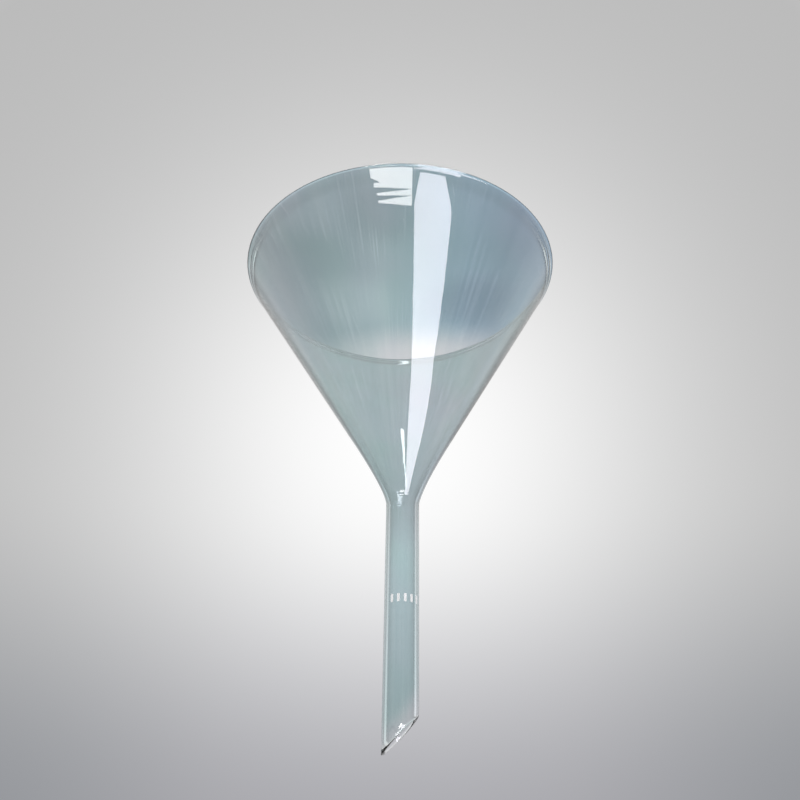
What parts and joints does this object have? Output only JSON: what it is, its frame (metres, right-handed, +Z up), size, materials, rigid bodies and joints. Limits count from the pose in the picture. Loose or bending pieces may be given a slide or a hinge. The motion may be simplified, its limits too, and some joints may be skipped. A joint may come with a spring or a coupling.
{
  "type": "laboratory filter funnel",
  "caption": "Clear glass filter funnel: a wide cone with a beaded rim, a flared neck and a straight stem cut to a slanted tip.",
  "frame": {"origin": "on the funnel's axis, at the height where the cone's outside is 60 mm across and sits in a 60 mm support ring", "axes": "+Z up along the axis, from the stem's tip to the mouth; the slanted tip's lowest point is at -X and its cut faces +X; the enamel bars face -Y and +X"},
  "size_m": [0.1, 0.1, 0.1505],
  "materials": {
    "glass": "clear, fire-polished borosilicate glass with a faint blue-green cast",
    "enamel": "opaque white enamel, fired on, satin"
  },
  "bodies": {
    "root": {"bowl": "glass", "stem": "glass", "enamel_bar_1": "enamel", "enamel_bar_2": "enamel", "enamel_bar_3": "enamel", "enamel_bar_4": "enamel", "enamel_bar_5": "enamel"}
  },
  "joints": []
}
